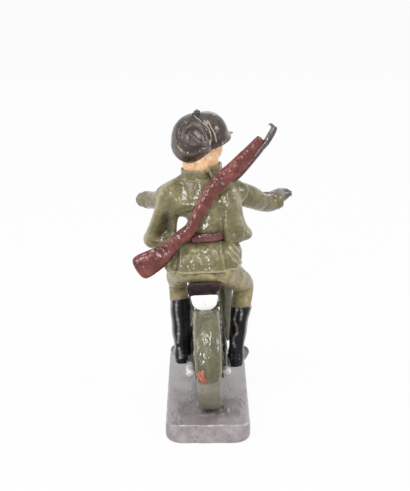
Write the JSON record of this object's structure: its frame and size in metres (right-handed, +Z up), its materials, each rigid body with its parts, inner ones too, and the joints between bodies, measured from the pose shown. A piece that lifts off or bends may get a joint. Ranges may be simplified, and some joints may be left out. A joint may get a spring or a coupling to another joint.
{
  "type": "toy soldier on motorcycle",
  "caption": "Painted toy figure of a plumed-helmet soldier with a slung rifle riding a motorcycle on an oblong plinth; the wheels spin and the head turns.",
  "frame": {"origin": "centre of the plinth's flat underside", "axes": "+Z up, +Y the way the motorcycle points, +X to the rider's right"},
  "size_m": [0.0442, 0.0725, 0.0829],
  "materials": {
    "plinth_grey": "brushed grey paint on composition",
    "machine_olive": "glossy olive paint",
    "machine_dark_olive": "glossy dark olive paint",
    "tyre_olive": "grey-olive paint",
    "silver_paint": "silver paint",
    "black_metal": "black paint",
    "grip_black": "black paint",
    "saddle_brown": "dark brown paint",
    "plate_white": "white paint",
    "lamp_red": "orange-red paint",
    "lens_glass": "clear",
    "uniform_olive": "glossy olive paint",
    "boot_black": "gloss black paint",
    "belt_brown": "red-brown paint",
    "glove_grey": "dark grey paint",
    "skin": "flesh paint",
    "helmet_black": "brown-black paint",
    "rifle_brown": "red-brown paint",
    "gun_black": "dark metal paint"
  },
  "bodies": {
    "figure": {"plinth": "plinth_grey", "support_pillar": "black_metal", "main_frame": "machine_dark_olive", "seat_bridge": "machine_dark_olive", "engine_cradle": "machine_dark_olive", "left_stays": "machine_dark_olive", "right_stays": "machine_dark_olive", "crankcase": "black_metal", "cylinder_barrel": "silver_paint", "cylinder_head": "silver_paint", "carburettor": "silver_paint", "fuel_tank": "machine_olive", "tank_cap": "silver_paint", "saddle": "saddle_brown", "saddle_springs": "black_metal", "footrests": "black_metal", "tool_box": "machine_olive", "left_exhaust": "silver_paint", "right_exhaust": "silver_paint", "rear_mudguard": "machine_olive", "number_plate": "plate_white", "tail_lamp": "lamp_red", "front_mudguard": "machine_olive", "rear_axle": "black_metal", "front_axle": "black_metal", "left_fork_blade": "machine_olive", "right_fork_blade": "machine_olive", "fork_crown": "machine_olive", "handlebar": "machine_dark_olive", "left_grip": "grip_black", "right_grip": "grip_black", "headlamp_bracket": "black_metal", "headlamp_shell": "machine_olive", "headlamp_lens": "lens_glass", "breeches": "uniform_olive", "left_boot": "boot_black", "right_boot": "boot_black", "tunic_skirt": "uniform_olive", "belt": "belt_brown", "tunic_body": "uniform_olive", "collar": "uniform_olive", "cape_left": "uniform_olive", "cape_right": "uniform_olive", "left_sleeve": "uniform_olive", "right_sleeve": "uniform_olive", "left_hand": "glove_grey", "right_hand": "glove_grey", "rifle_stock": "rifle_brown", "rifle_barrel": "gun_black", "rifle_bolt": "gun_black"},
    "rear_wheel": {"rear_tyre": "tyre_olive", "rear_rim": "silver_paint"},
    "front_wheel": {"front_tyre": "tyre_olive", "front_rim": "silver_paint"},
    "rider_head": {"head": "skin", "helmet": "helmet_black", "plume": "helmet_black"}
  },
  "joints": [
    {"name": "rear_wheel_spin", "type": "hinge", "parent": "figure", "child": "rear_wheel", "pos_m": [0.00023, -0.0209, 0.01824], "axis": [0.999, 0, 0.0436], "continuous": true},
    {"name": "front_wheel_spin", "type": "hinge", "parent": "figure", "child": "front_wheel", "pos_m": [0.00023, 0.0223, 0.01824], "axis": [0.999, 0, 0.0436], "continuous": true},
    {"name": "head_turn", "type": "hinge", "parent": "figure", "child": "rider_head", "pos_m": [-0.0017, -0.0026, 0.06475], "axis": [-0.0436, 0, 0.999], "range_deg": [-25, 70]}
  ]
}
